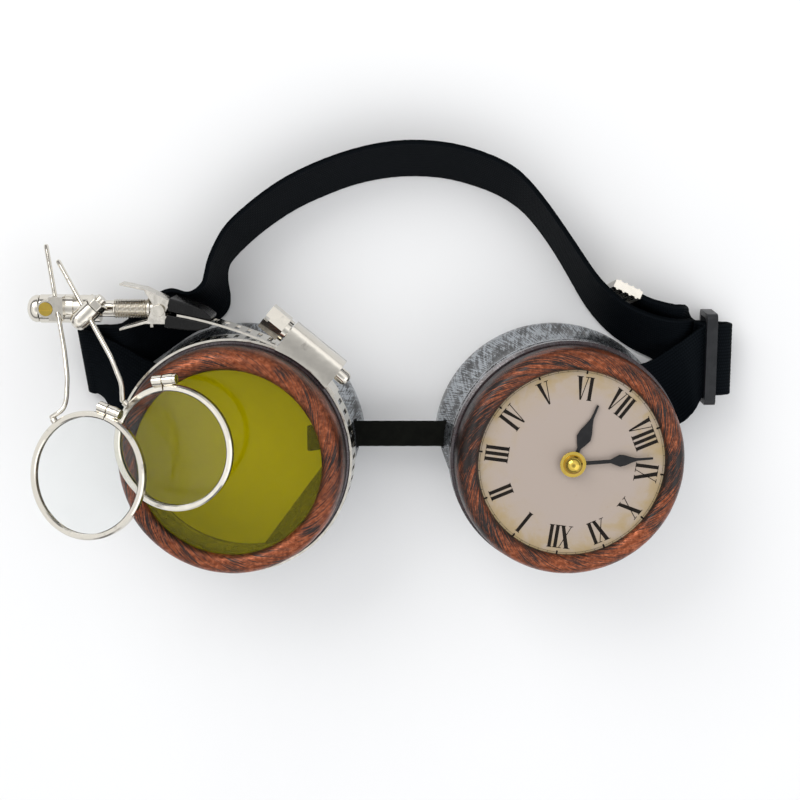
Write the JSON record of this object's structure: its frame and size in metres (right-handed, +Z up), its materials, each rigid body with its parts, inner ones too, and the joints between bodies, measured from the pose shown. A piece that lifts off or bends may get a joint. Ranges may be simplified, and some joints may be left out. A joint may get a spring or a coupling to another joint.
{
  "type": "steampunk goggles",
  "caption": "Costume goggles with a tinted lens, a clock dial, an elastic head strap and a clipped arm that carries swing-down magnifying loupes.",
  "frame": {"origin": "middle of the base of the whole object, on the plane that the eyecup rims rest on", "axes": "+Z up out of the lenses, +X from the tinted eyecup to the clock eyecup, +Y from the eyecups towards the head strap"},
  "size_m": [0.1924, 0.1178, 0.0533],
  "materials": {
    "cup_metal": "silver brushed over black",
    "ring_copper": "copper brushed over black",
    "tinted_glass": "olive yellow, clear",
    "disc_metal": "plain",
    "card_paper": "aged print with foxed rim",
    "hand_black": "black satin",
    "brass": "polished",
    "bridge_black": "matte black",
    "webbing": "black woven elastic",
    "slider_plastic": "moulded black",
    "nickel": "nickel plated",
    "clip_steel": "nickel plated sheet",
    "sleeve_rubber": "black, creased",
    "clear_glass": "clear, ground edge"
  },
  "bodies": {
    "goggles": {"tinted_eyecup": "cup_metal", "clock_eyecup": "cup_metal", "tinted_lens": "tinted_glass", "dial_disc": "disc_metal", "dial_card": "card_paper", "hands_pin": "brass", "nose_bridge": "bridge_black", "head_strap": "webbing", "adjuster_strap": "webbing", "strap_end_crimp": "nickel", "clamp_band": "nickel", "clamp_housing": "nickel", "clip_fixed_jaw": "clip_steel", "clip_pin": "nickel", "clip_spring": "nickel", "fixed_jaw_sleeve": "sleeve_rubber", "arm_rod": "nickel", "arm_washer": "nickel", "arm_end_cap": "nickel"},
    "tinted_bezel": {"tinted_front_ring": "ring_copper"},
    "clock_bezel": {"clock_front_ring": "ring_copper"},
    "hour": {"hour_hand": "hand_black"},
    "minute": {"minute_hand": "hand_black"},
    "slider": {"strap_slider": "slider_plastic"},
    "worm_screw": {"clamp_screw": "nickel"},
    "clip_lever": {"clip_moving_jaw": "clip_steel", "moving_jaw_sleeve": "sleeve_rubber"},
    "front_swivel": {"front_collar": "nickel"},
    "front_thumb": {"front_set_screw": "brass"},
    "rear_swivel": {"rear_collar": "nickel", "rear_set_screw": "brass", "pinch_bolt": "nickel", "pinch_nut": "nickel"},
    "front_loupe": {"front_stem": "nickel", "front_loupe_ring": "nickel", "front_loupe_glass": "clear_glass", "front_loupe_screw": "nickel"},
    "rear_loupe": {"rear_stem": "nickel", "rear_loupe_ring": "nickel", "rear_loupe_glass": "clear_glass", "rear_loupe_screw": "nickel"}
  },
  "joints": [
    {"name": "tinted_bezel_turn", "type": "hinge", "parent": "goggles", "child": "tinted_bezel", "pos_m": [-0.04134, -0.0263, 0.02789], "axis": [-0.0872, 0, 0.9962], "continuous": true},
    {"name": "clock_bezel_turn", "type": "hinge", "parent": "goggles", "child": "clock_bezel", "pos_m": [0.04954, -0.0263, 0.02789], "axis": [0.0872, 0, 0.9962], "continuous": true},
    {"name": "hour_turn", "type": "hinge", "parent": "goggles", "child": "hour", "pos_m": [0.04995, -0.0263, 0.03258], "axis": [0.0872, 0, 0.9962], "continuous": true},
    {"name": "minute_turn", "type": "hinge", "parent": "goggles", "child": "minute", "pos_m": [0.05, -0.0263, 0.03317], "axis": [0.0872, 0, 0.9962], "continuous": true},
    {"name": "slider_swivel", "type": "hinge", "parent": "goggles", "child": "slider", "pos_m": [0.0896, -0.0018, 0.0072], "axis": [0, 1, 0], "range_deg": [-5, 5]},
    {"name": "worm_turn", "type": "hinge", "parent": "goggles", "child": "worm_screw", "pos_m": [-0.01844, 0.00133, 0.02287], "axis": [0.7742, -0.6293, 0.0677], "continuous": true},
    {"name": "clip_squeeze", "type": "hinge", "parent": "goggles", "child": "clip_lever", "pos_m": [-0.06019, 0.01327, 0.01922], "axis": [-0.0872, 0, 0.9962], "range_deg": [0, 7], "stiffness_Nm_per_rad": 0.12, "springref_deg": -20.05},
    {"name": "front_swing", "type": "hinge", "parent": "goggles", "child": "front_swivel", "pos_m": [-0.0879, 0.0134, 0.019], "axis": [1, 0, 0], "range_deg": [-70, 0]},
    {"name": "rear_swing", "type": "hinge", "parent": "goggles", "child": "rear_swivel", "pos_m": [-0.0799, 0.0134, 0.019], "axis": [1, 0, 0], "range_deg": [-10, 0]},
    {"name": "thumb_screw_turn", "type": "hinge", "parent": "front_swivel", "child": "front_thumb", "pos_m": [-0.09025, 0.014, 0.023], "axis": [0, 0, 1], "continuous": true},
    {"name": "front_slide", "type": "slide", "parent": "front_swivel", "child": "front_loupe", "axis": [0.2324, -0.7915, 0.5653], "range_m": [0, 0.012]},
    {"name": "rear_slide", "type": "slide", "parent": "rear_swivel", "child": "rear_loupe", "axis": [0.4907, -0.691, 0.5308], "range_m": [0, 0.012]}
  ]
}
